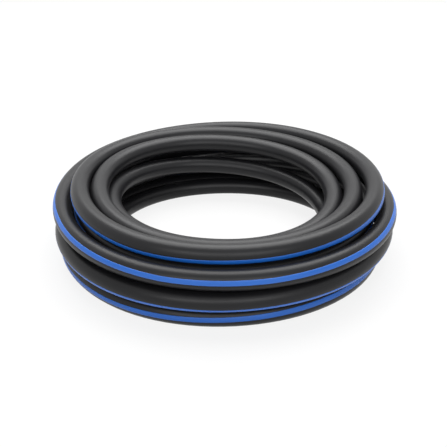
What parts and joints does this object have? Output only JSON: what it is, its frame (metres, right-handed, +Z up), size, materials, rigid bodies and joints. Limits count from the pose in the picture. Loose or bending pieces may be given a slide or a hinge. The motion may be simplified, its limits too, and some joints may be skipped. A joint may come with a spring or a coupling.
{
  "type": "soaker hose",
  "caption": "Soaker hose wound in a neat coil, smooth black with a blue stripe, with a swivel inlet coupling and a screw cap on its end.",
  "frame": {"origin": "middle of the coil's outline, on the floor that it lies on", "axes": "+Z up through the middle of the coil; -Y towards the side where both ends are tucked in"},
  "size_m": [0.2957, 0.3008, 0.0677],
  "materials": {
    "hose_black": "smooth satin black hose wall",
    "stripe_blue": "satin mid-blue stripe, part of the hose's skin",
    "brass": "turned brass",
    "ferrule_metal": "crimped satin aluminium",
    "fitting_black": "moulded black plastic",
    "disc_plastic": "thin white moulding",
    "washer_rubber": "soft black rubber",
    "screen_metal": "perforated stainless plate"
  },
  "bodies": {
    "hose": {"hose_wall": "hose_black", "blue_stripe": "stripe_blue", "inlet_tail": "brass", "inlet_ferrule": "ferrule_metal", "flow_disc": "disc_plastic", "inlet_washer": "washer_rubber", "filter_screen": "screen_metal", "outlet_tail": "brass", "outlet_ferrule": "ferrule_metal"},
    "nut": {"coupling_nut": "fitting_black"},
    "seal": {"cap_washer": "washer_rubber"},
    "cap": {"end_cap": "fitting_black"}
  },
  "joints": [
    {"name": "nut_swivel", "type": "hinge", "parent": "hose", "child": "nut", "pos_m": [0.01508, -0.08701, 0.01645], "axis": [1, 0, 0], "continuous": true},
    {"name": "cap_travel", "type": "slide", "parent": "hose", "child": "seal", "axis": [-1, 0, 0], "range_m": [0, 0.00884]},
    {"name": "cap_turn", "type": "hinge", "parent": "seal", "child": "cap", "pos_m": [-0.01412, -0.06041, 0.01575], "axis": [-1, 0, 0], "range_deg": [0, 1440]}
  ],
  "couplings": [
    {"joint": "cap_travel", "follows": "cap_turn", "m_per_rad": 0.00035157}
  ]
}
